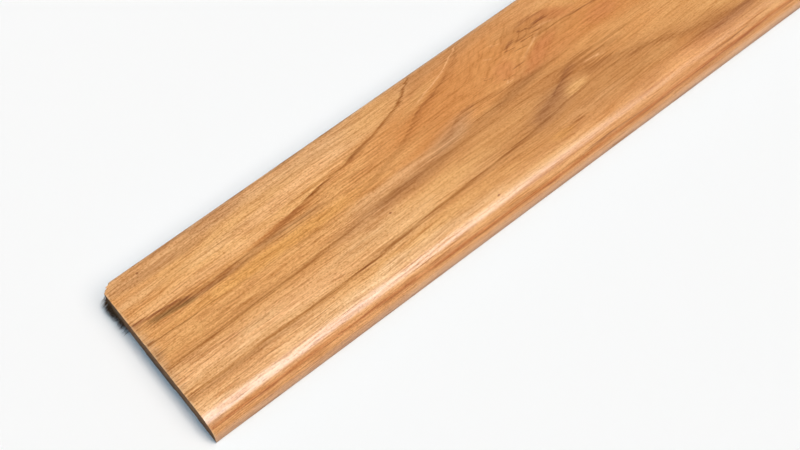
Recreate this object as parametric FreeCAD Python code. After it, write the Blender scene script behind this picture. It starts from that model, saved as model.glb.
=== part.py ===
import FreeCAD, Part
import math
import os

# Skirting board length: one solid wood moulding, lying on its back with its face up.
# X runs along the grain, Y across the board from the rounded top edge (-Y) to the
# square floor edge (+Y), and Z up from the back. The origin is the middle of the back.

# Driving dimensions, in millimetres
board_length = 2400.0
board_width = 75.0
board_thickness = 15.0

top_edge_radius = 9.0        # the large round between the face and the top edge
floor_arris_radius = 0.8     # eased corner between the face and the floor edge
back_arris_radius = 0.6      # eased corners along both sides of the back

relief_depth = 1.5           # two shallow grooves keep the back flat on a wall
relief_edge_land = 12.0      # flat back left beside each edge of the board
relief_middle_land = 19.0    # flat back left between the grooves
relief_side_slope = 60.0     # degrees between the back and a groove's side
relief_corner_radius = 1.0   # root of each groove side

break_length = 5.0           # knocked corner, along the grain at the face
break_width = 3.2            # the same break, across the end at the face
break_length_at_back = 2.6   # along the grain where the break reaches the back


def section_corner(y, z, radius=0.0):
    return FreeCAD.Vector(0.0, y, z), radius


def relief_corners(start_y, end_y):
    """The four corners of one groove, walked from +Y to -Y along the back."""
    run = relief_depth / math.tan(math.radians(relief_side_slope))
    root_radius = min(relief_corner_radius, relief_depth)
    return [
        section_corner(start_y, 0.0),
        section_corner(start_y - run, relief_depth, root_radius),
        section_corner(end_y + run, relief_depth, root_radius),
        section_corner(end_y, 0.0),
    ]


def rounded_outline(corners):
    """A closed wire through the corners, each rounded by its own tangent arc."""
    spans = []
    for index, (point, radius) in enumerate(corners):
        before = (corners[index - 1][0] - point).normalize()
        after = (corners[(index + 1) % len(corners)][0] - point).normalize()
        half_angle = before.getAngle(after) / 2
        setback = radius / math.tan(half_angle)
        middle_way = (before + after).normalize()
        middle_offset = radius / math.sin(half_angle) - radius
        spans.append((point + before * setback,
                      point + middle_way * middle_offset,
                      point + after * setback,
                      radius > 0.0))

    edges = []
    for index, (start, middle, end, is_round) in enumerate(spans):
        if is_round:
            edges.append(Part.Arc(start, middle, end).toShape())
        next_start = spans[(index + 1) % len(spans)][0]
        edges.append(Part.LineSegment(end, next_start).toShape())
    return Part.Wire(edges)


def board_section():
    half_width = board_width / 2
    half_middle_land = relief_middle_land / 2
    relief_outer = half_width - relief_edge_land
    round_radius = min(top_edge_radius, board_thickness - back_arris_radius)
    corners = [
        section_corner(-half_width, 0.0, back_arris_radius),
        section_corner(-half_width, board_thickness, round_radius),
        section_corner(half_width, board_thickness, floor_arris_radius),
        section_corner(half_width, 0.0, back_arris_radius),
    ]
    corners += relief_corners(relief_outer, half_middle_land)
    corners += relief_corners(-half_middle_land, -relief_outer)
    return Part.Face(rounded_outline(corners))


def corner_break():
    """What a knock took off the floor edge's corner at the -X end: a leaning wedge."""
    end_x = -board_length / 2
    floor_y = board_width / 2
    along_face = FreeCAD.Vector(end_x + break_length, floor_y, board_thickness)
    across_end = FreeCAD.Vector(end_x, floor_y - break_width, board_thickness)
    along_back = FreeCAD.Vector(end_x + break_length_at_back, floor_y, 0.0)

    face_line = (across_end - along_face).normalize()
    outward = (along_back - along_face).cross(face_line).normalize()
    downward = outward.cross(face_line)
    overrun = 2 * board_thickness
    start = along_face - face_line * overrun - downward * overrun
    wedge_outline = Part.makePolygon([
        start,
        start + face_line * 4 * overrun,
        start + face_line * 4 * overrun + downward * 4 * overrun,
        start + downward * 4 * overrun,
        start,
    ])
    return Part.Face(wedge_outline).extrude(outward * overrun)


def skirting_board():
    section = board_section()
    section.translate(FreeCAD.Vector(-board_length / 2, 0.0, 0.0))
    board = section.extrude(FreeCAD.Vector(board_length, 0.0, 0.0))
    return board.cut(corner_break())


os.makedirs("parts", exist_ok=True)
board = skirting_board()
board.exportStep("parts/skirting_board.step")
box = board.BoundBox
print("skirting_board", round(box.XLength, 3), round(box.YLength, 3), round(box.ZLength, 3),
      "volume", round(board.Volume, 1), "valid", board.isValid(), "solids", len(board.Solids))
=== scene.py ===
import bmesh
import bpy
import math
import random
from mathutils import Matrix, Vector, noise


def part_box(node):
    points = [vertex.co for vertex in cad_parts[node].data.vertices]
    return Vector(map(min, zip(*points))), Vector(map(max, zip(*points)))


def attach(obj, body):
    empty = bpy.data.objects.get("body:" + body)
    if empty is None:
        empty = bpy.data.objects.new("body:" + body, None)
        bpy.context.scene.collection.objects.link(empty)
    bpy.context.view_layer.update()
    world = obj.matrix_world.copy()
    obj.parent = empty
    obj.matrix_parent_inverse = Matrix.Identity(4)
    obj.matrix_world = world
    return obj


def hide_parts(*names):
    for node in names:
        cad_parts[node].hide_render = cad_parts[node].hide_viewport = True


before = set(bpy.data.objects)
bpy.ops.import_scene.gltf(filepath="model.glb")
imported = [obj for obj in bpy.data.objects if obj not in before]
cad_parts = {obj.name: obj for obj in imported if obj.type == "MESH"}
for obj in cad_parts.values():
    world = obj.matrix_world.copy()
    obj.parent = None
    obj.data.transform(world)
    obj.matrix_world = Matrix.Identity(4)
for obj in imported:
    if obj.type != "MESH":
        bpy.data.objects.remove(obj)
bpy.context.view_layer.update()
boardLow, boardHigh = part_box("skirting_board")
print("frame loaded, board is", [round(side, 4) for side in boardHigh - boardLow], "m")

mm = 0.001
boardLength, boardWidth, boardThickness = boardHigh - boardLow


# the board's section, the same all along it
board = {
    "topEdgeRound": 9.0 * mm,      # large round between the face and the top edge
    "floorArris": 0.8 * mm,        # eased corner between the face and the floor edge
    "backArris": 0.6 * mm,
    "grooveDepth": 1.5 * mm,       # two shallow grooves in the back
    "edgeLand": 12.0 * mm,         # flat back beside each edge
    "middleLand": 19.0 * mm,       # flat back between the grooves
    "grooveSlope": math.radians(60),
    "grooveRoot": 1.0 * mm,
    "roundSteps": 24,
    "arrisSteps": 5,
    "roundGuard": 1.04,            # a column this many radii in keeps the flat beside a round flat
    "grooveGuard": 0.1 * mm,       # and one this far outside a groove does the same there
    "rootColumns": (0.4, 0.8, 1.2, 1.5),   # columns over the groove's root, in setbacks
    "flatStep": 1.5 * mm,          # widest column on the flats
    "leastGap": 0.04 * mm,         # columns nearer than this become one
    "sideRows": 6,                 # rows down the edges and the sawn ends
    "sharpAngle": math.radians(38),
    "foldLength": 800.0 * mm,      # the surface maps are laid out in stretches this long
    # from this far along, the stations are this far apart, both in mm
    "stations": [(0, 0.5), (8, 2), (40, 4), (330, 20), (800, 20), (1600, 20), (2390, 2)],
}


def roundDrop(inset, radius):  # how far a quarter round lies under its flat, this far in from the edge
    reach = max(radius - inset, 0.0)
    return radius - math.sqrt(radius ** 2 - reach ** 2)


def grooveSide():  # how far a groove's side runs, and how far its root's arc is set back from the corner
    run = board["grooveDepth"] / math.tan(board["grooveSlope"])
    setback = board["grooveRoot"] * math.tan(board["grooveSlope"] / 2)
    return run, setback


def grooveRise(inset):  # height of a groove's roof over the back, this far in from its edge
    slope, root = board["grooveSlope"], board["grooveRoot"]
    run, setback = grooveSide()
    if inset <= 0:
        return 0.0
    if inset < run - setback * math.cos(slope):
        return inset * math.tan(slope)
    reach = max(run + setback - inset, 0.0)
    return board["grooveDepth"] - root + math.sqrt(root ** 2 - reach ** 2)


def grooveSpans():
    outer, inner = boardWidth / 2 - board["edgeLand"], board["middleLand"] / 2
    return [(-outer, -inner), (inner, outer)]


def faceHeight(y):
    nearDrop = roundDrop(y - boardLow.y, board["topEdgeRound"])
    farDrop = roundDrop(boardHigh.y - y, board["floorArris"])
    return boardHigh.z - nearDrop - farDrop


def backHeight(y):
    rise = roundDrop(y - boardLow.y, board["backArris"]) + roundDrop(boardHigh.y - y, board["backArris"])
    for start, end in grooveSpans():
        rise += grooveRise(min(y - start, end - y))
    return boardLow.z + rise


def sectionColumns():
    columns = [boardLow.y, boardHigh.y]
    rounds = [
        (boardLow.y, 1, board["topEdgeRound"], board["roundSteps"]),
        (boardLow.y, 1, board["backArris"], board["arrisSteps"]),
        (boardHigh.y, -1, board["floorArris"], board["arrisSteps"]),
        (boardHigh.y, -1, board["backArris"], board["arrisSteps"]),
    ]
    for edge, inward, radius, steps in rounds:
        for step in range(steps + 1):
            columns.append(edge + inward * radius * (1 - math.sin(math.pi / 2 * step / steps)))
        columns.append(edge + inward * radius * board["roundGuard"])

    run, setback = grooveSide()
    slopeEnd = run - setback * math.cos(board["grooveSlope"])
    insets = [-board["grooveGuard"], 0.0, slopeEnd]
    insets += [slopeEnd + setback * part for part in board["rootColumns"]]
    for start, end in grooveSpans():
        for inset in insets:
            columns += [start + inset, end - inset]

    kept = [boardLow.y]
    for y in sorted(columns):
        if y - kept[-1] > board["leastGap"] and boardHigh.y - y > board["leastGap"]:
            kept.append(y)
    kept.append(boardHigh.y)

    filled = []
    for y, following in zip(kept, kept[1:]):
        parts = math.ceil((following - y) / board["flatStep"])
        filled += [y + (following - y) * part / parts for part in range(parts)]
    return filled + [boardHigh.y]


def boardStations():
    stations = []
    ends = [start for start, gap in board["stations"][1:]] + [boardLength / mm]
    for (start, gap), end in zip(board["stations"], ends):
        parts = round((end - start) / gap)
        stations += [start + (end - start) * part / parts for part in range(parts)]
    return [boardLow.x + station * mm for station in stations] + [boardHigh.x]


# what the saw left on both ends
sawnEnd = {
    "chatter": 0.12 * mm,      # unevenness of the cut
    "chatterSize": 2.5 * mm,
    "chatterSquash": 0.6,      # its marks are taller than wide
    "chatterSeed": 7.0,
    "tearOut": 0.3 * mm,       # small chips along the face's sawn edge
    "tearOutSize": 0.9 * mm,
    "tearOutDepth": 1.0 * mm,  # how far under the face they are felt
    "tearOutSeed": 3.0,
    "reach": 1.2 * mm,         # how far from the end all this is felt
}


def sawWear(point):  # always inward, so the board keeps its length
    endDistance = min(point.x - boardLow.x, boardHigh.x - point.x)
    nearEnd = max(1 - endDistance / sawnEnd["reach"], 0.0)
    if nearEnd == 0:
        return point
    inward = 1 if point.x < 0 else -1
    cut = Vector((inward * sawnEnd["chatterSeed"], point.y, point.z * sawnEnd["chatterSquash"]))
    bumps = noise.noise(cut / sawnEnd["chatterSize"])
    chips = noise.noise(Vector((inward * sawnEnd["tearOutSeed"], point.y, point.x)) / sawnEnd["tearOutSize"])
    worn = point.copy()
    worn.x += inward * nearEnd * sawnEnd["chatter"] * (0.5 + 0.5 * bumps)
    faceEdge = max(1 - (faceHeight(point.y) - point.z) / sawnEnd["tearOutDepth"], 0.0)
    worn.z -= nearEnd * faceEdge * sawnEnd["tearOut"] * max(chips, 0.0)
    return worn


def boardShell():
    columns, stations, rows = sectionColumns(), boardStations(), board["sideRows"]
    lastStation, lastColumn = len(stations) - 1, len(columns) - 1
    shell = bmesh.new()
    spots = {}
    for i, x in enumerate(stations):
        for j, y in enumerate(columns):
            bottom, top = backHeight(y), faceHeight(y)
            for k in range(rows + 1):
                if i in (0, lastStation) or j in (0, lastColumn) or k in (0, rows):
                    point = Vector((x, y, bottom + (top - bottom) * k / rows))
                    spots[i, j, k] = shell.verts.new(sawWear(point))

    def quad(*keys):
        shell.faces.new([spots[key] for key in keys])

    for i in range(lastStation):
        for j in range(lastColumn):
            quad((i, j, rows), (i + 1, j, rows), (i + 1, j + 1, rows), (i, j + 1, rows))
            quad((i, j, 0), (i, j + 1, 0), (i + 1, j + 1, 0), (i + 1, j, 0))
        for k in range(rows):
            quad((i, 0, k), (i + 1, 0, k), (i + 1, 0, k + 1), (i, 0, k + 1))
            quad((i, lastColumn, k), (i, lastColumn, k + 1),
                 (i + 1, lastColumn, k + 1), (i + 1, lastColumn, k))
    for j in range(lastColumn):
        for k in range(rows):
            quad((0, j, k), (0, j, k + 1), (0, j + 1, k + 1), (0, j + 1, k))
            quad((lastStation, j, k), (lastStation, j + 1, k),
                 (lastStation, j + 1, k + 1), (lastStation, j, k + 1))
    return shell


# the floor edge's corner at the visible end was knocked off, and its fibres tore unevenly
knock = {
    "alongFace": 5.0 * mm,
    "acrossEnd": 3.2 * mm,
    "alongBack": 2.6 * mm,
    "raggedness": 0.5 * mm,
    "splinter": 2.2 * mm,          # longest splinter that still stands
    "splinterFrom": 0.25,          # noise over this leaves a splinter
    "splinterGain": 2,
    "splinterSize": 0.8,           # under 1, its noise is broader than the fibres'
    "splinterPlace": Vector((9, 4, 2)),
    "fibreWide": 0.45 * mm,
    "fibreHigh": 0.9 * mm,
    "fibreSeed": 0.5,
    "step": 0.2 * mm,
    "rowStep": 0.4 * mm,
    "overrun": 1.6 * mm,
    "pullBack": 8.8 * mm,          # how far past the end the cutter goes
}


def breakReach(y, z):  # how far along the board the break goes, at this place on the section
    acrossRate = knock["alongFace"] / knock["acrossEnd"]
    heightRate = (knock["alongFace"] - knock["alongBack"]) / boardThickness
    return knock["alongFace"] + acrossRate * (y - boardHigh.y) + heightRate * (z - boardHigh.z)


def tornReach(y, z):
    fibre = Vector((y / knock["fibreWide"], z / knock["fibreHigh"], knock["fibreSeed"]))
    ragged = knock["raggedness"] * noise.noise(fibre)
    left = noise.noise(fibre * knock["splinterSize"] + knock["splinterPlace"])
    standing = knock["splinter"] * max(left - knock["splinterFrom"], 0.0) * knock["splinterGain"]
    return breakReach(y, z) + ragged - standing


def knockCutter():
    overrun, step = knock["overrun"], knock["step"]
    startY = boardHigh.y - knock["acrossEnd"] - overrun
    countY = round((boardHigh.y + overrun - startY) / step)
    countZ = round((boardThickness + 2 * overrun) / knock["rowStep"])
    cutter = bmesh.new()
    grid = []
    for row in range(countZ + 1):
        z = boardLow.z - overrun + row * knock["rowStep"]
        across = [startY + column * step for column in range(countY + 1)]
        grid.append([cutter.verts.new((boardLow.x + tornReach(y, z), y, z)) for y in across])
    for line, nextLine in zip(grid, grid[1:]):
        for column in range(countY):
            cutter.faces.new((line[column], line[column + 1], nextLine[column + 1], nextLine[column]))
    pulled = bmesh.ops.extrude_face_region(cutter, geom=list(cutter.faces))
    for part in pulled["geom"]:
        if isinstance(part, bmesh.types.BMVert):
            part.co.x = boardLow.x - knock["pullBack"]
    bmesh.ops.recalc_face_normals(cutter, faces=cutter.faces)
    return cutter


# fibres that tore loose near the knocked corner: most hang from the end, low down
tornFibres = {
    # nearFace are those on the end beside the break, up to the face
    "counts": {"atEnd": 600, "atBreak": 40, "nearFace": 70},
    "endSpan": (57.5 * mm, 75.2 * mm, 71.0 * mm),   # across the end: from, to and where most are
    "endHeight": 8.0 * mm,
    "breakSpan": (0.05, 0.95),            # shares of the break's width
    "breakHeight": (0.1, 0.8),            # lowest, and how far over it, as shares of the thickness
    "nearFaceSpan": (68.5 * mm, 72.0 * mm),
    "nearFaceHeight": (0.3, 0.95),
    "length": (0.3 * mm, 3.4 * mm),
    "mostlyShort": 2.4,                   # a higher power leaves fewer long ones
    "lengthShare": {"atEnd": 1.0, "atBreak": 0.7, "nearFace": 0.6},
    "droop": 0.7,                         # how far a tip hangs, for its length
    "thick": (0.04 * mm, 0.13 * mm),
    "taper": ((0.0, 1.0), (0.55, 0.8)),   # share of the length, and girth there
    "rooted": 0.4 * mm,                   # how deep each starts inside the wood
    "sideways": 0.5 * mm,
    "offFloor": 0.3,                      # a tip stays this share of its thickness up
}


def addSliver(shell, root, tip, thick):
    rings = []
    for share, girth in tornFibres["taper"]:
        middle = root.lerp(tip, share)
        middle.z += share * thick          # bowed
        rings.append([shell.verts.new(middle + Vector((0, side * thick * girth, rise * thick * girth)))
                      for side, rise in ((-0.5, -0.5), (0.5, -0.5), (0.5, 0.5), (-0.5, 0.5))])
    point = shell.verts.new(tip)
    shell.faces.new(rings[0])
    for index in range(4):
        following = (index + 1) % 4
        shell.faces.new((rings[0][following], rings[0][index], rings[1][index], rings[1][following]))
        shell.faces.new((rings[1][following], rings[1][index], point))


def tornFibreShell():
    chance = random.Random(4)
    shell = bmesh.new()
    shortest, longest = tornFibres["length"]
    lowest, higher = tornFibres["breakHeight"]
    for place in [place for place, count in tornFibres["counts"].items() for _ in range(count)]:
        length = shortest + (longest - shortest) * chance.random() ** tornFibres["mostlyShort"]
        length *= tornFibres["lengthShare"][place]
        thick = chance.uniform(*tornFibres["thick"])
        startX = boardLow.x
        if place == "atEnd":
            y = boardLow.y + chance.triangular(*tornFibres["endSpan"])
            z = thick + tornFibres["endHeight"] * chance.random() ** 2
        elif place == "nearFace":
            y = boardLow.y + chance.uniform(*tornFibres["nearFaceSpan"])
            z = boardThickness * chance.uniform(*tornFibres["nearFaceHeight"])
        else:
            y = boardHigh.y - knock["acrossEnd"] * chance.uniform(*tornFibres["breakSpan"])
            z = boardThickness * (lowest + higher * chance.random() ** 2)
            startX = boardLow.x + breakReach(y, z)
        root = Vector((startX + tornFibres["rooted"], y, z))
        tip = Vector((startX - length, y + tornFibres["sideways"] * chance.uniform(-1, 1),
                      max(z - tornFibres["droop"] * length, tornFibres["offFloor"] * thick)))
        addSliver(shell, root, tip, thick)
    bmesh.ops.recalc_face_normals(shell, faces=shell.faces)
    return shell


def meshObject(name, shell):
    mesh = bpy.data.meshes.new(name)
    shell.to_mesh(mesh)
    shell.free()
    made = bpy.data.objects.new(name, mesh)
    bpy.context.scene.collection.objects.link(made)
    return made


# which finish each part of the skin has
finishOrder = ["lacqueredFace", "sawnEndGrain", "planedBack", "tornCorner"]
facing = 0.7    # a normal with more than this along an axis faces that way


def isBack(centre, normal):
    edgeDistance = min(centre.y - boardLow.y, boardHigh.y - centre.y)
    low = centre.z < 2 * board["grooveDepth"]
    return low and (normal.z < -facing or edgeDistance > 2 * board["backArris"])


def skinFinish(polygon):
    if polygon.material_index == finishOrder.index("tornCorner"):
        return "tornCorner"
    if abs(polygon.normal.x) > facing:
        return "sawnEndGrain"
    return "planedBack" if isBack(polygon.center, polygon.normal) else "lacqueredFace"


def developedLength(point):  # round the section, from the foot of the floor edge to that of the top edge
    radius = board["topEdgeRound"]
    inset = max(point.y - boardLow.y, 0.0)
    if inset >= radius:
        return point.z + boardHigh.y - point.y
    roundStart = boardThickness + boardWidth - radius
    if point.z < boardThickness - radius:
        return roundStart + radius * math.pi / 2 + boardThickness - radius - point.z
    return roundStart + radius * math.asin(min((radius - inset) / radius, 1.0))


# how the surface maps are laid out, in metres before they are scaled to fit
layout = {
    "gap": 1.5 * mm,
    "backShare": 0.5,          # the hidden back gets half the detail
    "endSpread": 4.0,          # the ends get more
    "endShare": 2.0,
    "farEndStart": 0.4,        # share of the ends' strip where the far end begins
    "tornStart": 0.8,          # and where the torn corner begins
    "tornSpread": 30.0,
    "margin": 0.002,
}


def layOutMaps(mesh):
    faceBand = developedLength(Vector((0, boardLow.y, 0))) + layout["gap"]
    backBand = boardWidth * layout["backShare"] + layout["gap"]
    endBand = boardThickness * layout["endShare"] + layout["gap"]
    stretch = board["foldLength"]
    folds = round(boardLength / stretch)
    total = folds * (faceBand + backBand) + endBand
    low, span = layout["margin"], 1 - 2 * layout["margin"]
    uvMap = mesh.uv_layers.new(name="OFBake")
    for polygon in mesh.polygons:
        finish = finishOrder[polygon.material_index]
        fold = min(int((polygon.center.x - boardLow.x) / stretch), folds - 1)
        for loop in polygon.loop_indices:
            point = mesh.vertices[mesh.loops[loop].vertex_index].co
            along = (point.x - boardLow.x) / stretch - fold
            across = point.y - boardLow.y
            if finish == "lacqueredFace":
                u, v = along, fold * faceBand + developedLength(point)
            elif finish == "planedBack":
                u, v = along, folds * faceBand + fold * backBand + across * layout["backShare"]
            else:
                v = total - endBand + point.z * layout["endShare"]
                if finish == "sawnEndGrain":
                    farther = layout["farEndStart"] if polygon.center.x > 0 else 0
                    u = across * layout["endSpread"] / stretch + farther
                else:
                    u = layout["tornStart"] + (boardHigh.y - point.y) * layout["tornSpread"] / stretch
            uvMap.data[loop].uv = (low + span * min(max(u, 0), 1), low + span * min(v / total, 1))


# colours as red, green and blue from 0 to 255
palette = {
    "straw": (237, 178, 113),
    "peach": (242, 183, 126),
    "rose": (219, 167, 119),
    "edgeGrey": (196, 152, 114),
    "tan": (227, 163, 99),
    "honey": (228, 163, 88),
    "orange": (215, 142, 77),
    "rust": (210, 132, 76),
    "brown": (194, 129, 71),
    "greyBrown": (188, 130, 80),
    "rawWood": (232, 190, 146),
    "cream": (250, 200, 146),
    "endBrown": (106, 70, 42),
    "endGrey": (60, 47, 38),
    "backWood": (214, 166, 114),
    "dust": (204, 190, 172),
    "bounceGrey": (122, 138, 148),
    "apricot": (240, 170, 102),
}
# and stains, which are multiplied with the colour under them
stains = {
    "late": (188, 155, 92),
    "heart": (158, 106, 72),
    "grey": (178, 162, 146),
    "olive": (172, 170, 150),
    "amber": (240, 205, 160),
}


def linearLevel(level):  # by the sRGB curve
    share = level / 255
    return share / 12.92 if share <= 0.04045 else ((share + 0.055) / 1.055) ** 2.4


def paint(name):
    return (*[linearLevel(level) for level in palette.get(name) or stains[name]], 1.0)


def plug(tree, socket, value):
    if isinstance(value, bpy.types.NodeSocket):
        tree.links.new(value, socket)
    else:
        socket.default_value = value


def plugAll(tree, sockets, values):
    for name, value in values.items():
        plug(tree, sockets[name], value)


def addNode(tree, kind, inputs=None, **settings):
    node = tree.nodes.new("ShaderNode" + kind)
    for name, value in settings.items():
        setattr(node, name, value)
    plugAll(tree, node.inputs, inputs or {})
    return node


# the functions below add their nodes to the tree that the sockets among their values belong to
def treeOf(*values):
    return next(value.id_data for value in values if isinstance(value, bpy.types.NodeSocket))


def maths(operation, *values):
    return addNode(treeOf(*values), "Math", dict(enumerate(values)), operation=operation).outputs[0]


def addUp(*values):
    total = values[0]
    for value in values[1:]:
        total = maths("ADD", total, value)
    return total


def multiply(*values):
    product = values[0]
    for value in values[1:]:
        product = maths("MULTIPLY", product, value)
    return product


def lessen(share, loss):  # 1 where the share is 0, and less by the loss where it is 1
    return maths("MULTIPLY_ADD", share, -loss, 1.0)


def easedStep(value, zeroAt, oneAt):  # never under 0 or over 1, so it needs no clamp
    return addNode(treeOf(value), "MapRange", {"Value": value, "From Min": zeroAt, "From Max": oneAt},
                   interpolation_type="SMOOTHSTEP", clamp=False).outputs["Result"]


def blendColour(base, tint, amount, how="MIX"):
    return addNode(treeOf(base, tint, amount), "Mix", {0: amount, 6: base, 7: tint},
                   data_type="RGBA", blend_type=how).outputs[2]


def lay(base, name, amount):  # a stain darkens what is under it, and a colour of the palette covers it
    return blendColour(base, paint(name), amount, "MULTIPLY" if name in stains else "MIX")


def bumped(relief, depth):
    return addNode(treeOf(relief), "Bump", {"Height": relief, "Distance": depth}).outputs[0]


def noiseAt(place, size, seed=0.0, detail=2.0):  # size is one patch of noise, in mm
    tree = treeOf(place)
    scaled = addNode(tree, "Mapping", {
        "Vector": place,
        "Location": (17.3 * seed, 9.1 * seed, 5.7 * seed),   # far apart for each seed
        "Scale": [1 / side for side in size],
    }).outputs[0]
    return addNode(tree, "TexNoise", {"Vector": scaled, "Scale": 1.0, "Detail": detail}).outputs[0]


def swayAt(place, size, seed):  # to either side of 0
    return maths("SUBTRACT", noiseAt(place, size, seed), 0.5)


def newGroup(name, inputs):
    group = bpy.data.node_groups.new(name, "ShaderNodeTree")
    for label, value in inputs.items():
        kind = "Vector" if isinstance(value, tuple) else "Float"
        socket = group.interface.new_socket(name=label, in_out="INPUT", socket_type="NodeSocket" + kind)
        socket.default_value = value
    return group, group.nodes.new("NodeGroupInput").outputs


def tidyNodes(tree):  # rows of eight, in the order they were made
    for index, node in enumerate(tree.nodes):
        node.location = (index % 8 * 220, -(index // 8) * 320)


def closeGroup(group, outputs):
    for label, value in outputs.items():
        kind = {"VALUE": "Float", "VECTOR": "Vector", "RGBA": "Color"}[value.type]
        group.interface.new_socket(name=label, in_out="OUTPUT", socket_type="NodeSocket" + kind)
    plugAll(group, group.nodes.new("NodeGroupOutput").inputs, outputs)
    tidyNodes(group)
    return group


def placeGroup(tree, group, inputs=None):
    return addNode(tree, "Group", inputs, node_tree=group).outputs


# how the grain wanders, and the heart that the growth rings curve round, all in mm
growth = {
    "wander": (90, 25, 25),        # patch size of the slow wander from side to side
    "wanderAcross": 5.0,           # and how far it goes
    "ripple": (22, 6, 6),
    "rippleAcross": 1.0,
    "rippleRing": 1.6,
    "heartAcross": -60.0,          # under the top edge
    "heartHigh": -40.0,
    "leastReach": 1.0,
}


# where a point is in mm: along from the visible end, across from the top edge and high from the back
def boardPlaceGroup():
    group = newGroup("boardPlace", {})[0]
    spot = addNode(group, "TexCoord").outputs["Object"]
    inMm = addNode(group, "VectorMath", {0: spot, 1: (1 / mm,) * 3, 2: [-corner / mm for corner in boardLow]},
                   operation="MULTIPLY_ADD").outputs[0]
    split = addNode(group, "SeparateXYZ", {0: inMm}).outputs
    along, across, high = split["X"], split["Y"], split["Z"]

    wander, ripple = swayAt(inMm, growth["wander"], seed=1), swayAt(inMm, growth["ripple"], seed=2)
    shift = addUp(multiply(wander, growth["wanderAcross"]), multiply(ripple, growth["rippleAcross"]))
    moved = addNode(group, "CombineXYZ", {0: along, 1: addUp(across, shift), 2: high}).outputs[0]

    # the ring number equals Across on the face
    outward = maths("SUBTRACT", across, growth["heartAcross"])
    upward = maths("SUBTRACT", high, growth["heartHigh"])
    faceUpward = boardThickness / mm - growth["heartHigh"]
    squares = addUp(multiply(outward, outward), multiply(upward, upward), -faceUpward ** 2)
    reach = maths("SQRT", maths("MAXIMUM", squares, growth["leastReach"]))
    ring = addUp(reach, growth["heartAcross"], multiply(ripple, growth["rippleRing"]))
    return closeGroup(group, {"Along": along, "Across": across, "High": high, "Ring": ring, "Grain": moved})


boardPlace = boardPlaceGroup()


# one dark or light line of the figure: sharp or soft on either side, and faded at its ends
def grainStreakGroup():
    group, given = newGroup("grainStreak", {
        "Along": 0.0, "Ring": 0.0, "Line": 0.0, "Above": 1.0, "Below": 1.0,
        "From": 0.0, "To": 100.0, "Taper": 20.0,
    })
    offset = maths("SUBTRACT", given["Ring"], given["Line"])
    above = easedStep(offset, given["Above"], 0.0)
    below = easedStep(offset, multiply(given["Below"], -1.0), 0.0)
    start = easedStep(given["Along"], given["From"], addUp(given["From"], given["Taper"]))
    stop = easedStep(given["Along"], given["To"], maths("SUBTRACT", given["To"], given["Taper"]))
    return closeGroup(group, {"Mask": multiply(above, below, start, stop)})


grainStreak = grainStreakGroup()


patchCore = 0.25    # share of a soft oval that has its full colour


# a soft oval of another colour. Each axis is a direction divided by the oval's size along it
def softPatchGroup():
    group, given = newGroup("softPatch", {
        "Along": 0.0, "Ring": 0.0, "Centre": (0, 0, 0), "Long Axis": (0.1, 0, 0), "Short Axis": (0, 0.1, 0),
    })
    spot = addNode(group, "CombineXYZ", {0: given["Along"], 1: given["Ring"]}).outputs[0]
    offset = addNode(group, "VectorMath", {0: spot, 1: given["Centre"]}, operation="SUBTRACT").outputs[0]
    shares = [addNode(group, "VectorMath", {0: offset, 1: given[axis]}, operation="DOT_PRODUCT").outputs
              for axis in ("Long Axis", "Short Axis")]
    local = addNode(group, "CombineXYZ", {0: shares[0]["Value"], 1: shares[1]["Value"]}).outputs[0]
    distance = addNode(group, "VectorMath", {0: local}, operation="LENGTH").outputs["Value"]
    return closeGroup(group, {"Mask": easedStep(distance, 1.0, patchCore)})


softPatch = softPatchGroup()


def placePatch(along, ring, centre, size, turn=0.0):
    lengthwise, crosswise = math.cos(math.radians(turn)), math.sin(math.radians(turn))
    return placeGroup(treeOf(along), softPatch, {
        "Along": along, "Ring": ring, "Centre": (*centre, 0),
        "Long Axis": (lengthwise / size[0], crosswise / size[0], 0),
        "Short Axis": (-crosswise / size[1], lengthwise / size[1], 0),
    })["Mask"]


# fibres, pores and curl of the grain: the size of one patch of each, in mm
grain = {
    "fibre": (24, 0.80, 0.80),
    "broadFibre": (55, 2.7, 2.7),
    "hair": (15, 0.42, 0.42),
    "fleck": (0.9, 0.5, 0.5),
    "longPore": (13, 0.65, 0.65),
    "longPoreRange": (0.56, 0.70),     # noise where a pore begins, and where it is full
    "shortPore": (4.2, 0.55, 0.55),
    "shortPoreRange": (0.58, 0.74),
    "shortPoreDepth": 0.7,
    "poreArea": (50, 8, 8),            # pores come in drifts of this size
    "poreDrift": 0.3,
    "curl": (4.5, 1.3, 3.0),
    "curlTurn": math.radians(34),
    "curlCentre": (192, 57),
    "curlSize": (46, 22),
    "curlLoss": 0.5,                   # how much of the fibres the curl hides
}


def fibreGrainGroup():
    group, given = newGroup("fibreGrain", {"Grain": (0, 0, 0)})
    place = given["Grain"]
    drift = multiply(swayAt(place, grain["poreArea"], seed=5), grain["poreDrift"])
    longOnes = addUp(noiseAt(place, grain["longPore"], seed=6, detail=1), drift)
    shortOnes = addUp(noiseAt(place, grain["shortPore"], seed=7, detail=1), drift)
    pores = maths("MAXIMUM", easedStep(longOnes, *grain["longPoreRange"]),
                  multiply(easedStep(shortOnes, *grain["shortPoreRange"]), grain["shortPoreDepth"]))
    turned = addNode(group, "Mapping", {"Vector": place, "Rotation": (0, 0, -grain["curlTurn"])}).outputs[0]
    return closeGroup(group, {
        "Fibre": noiseAt(place, grain["fibre"], seed=3),
        "Broad": noiseAt(place, grain["broadFibre"], seed=4),
        "Hair": noiseAt(place, grain["hair"], seed=16, detail=1),
        "Fleck": noiseAt(place, grain["fleck"], seed=9, detail=1),
        "Pore": pores,
        "Curl": noiseAt(turned, grain["curl"], seed=8, detail=1),
    })


fibreGrain = fibreGrainGroup()


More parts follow.
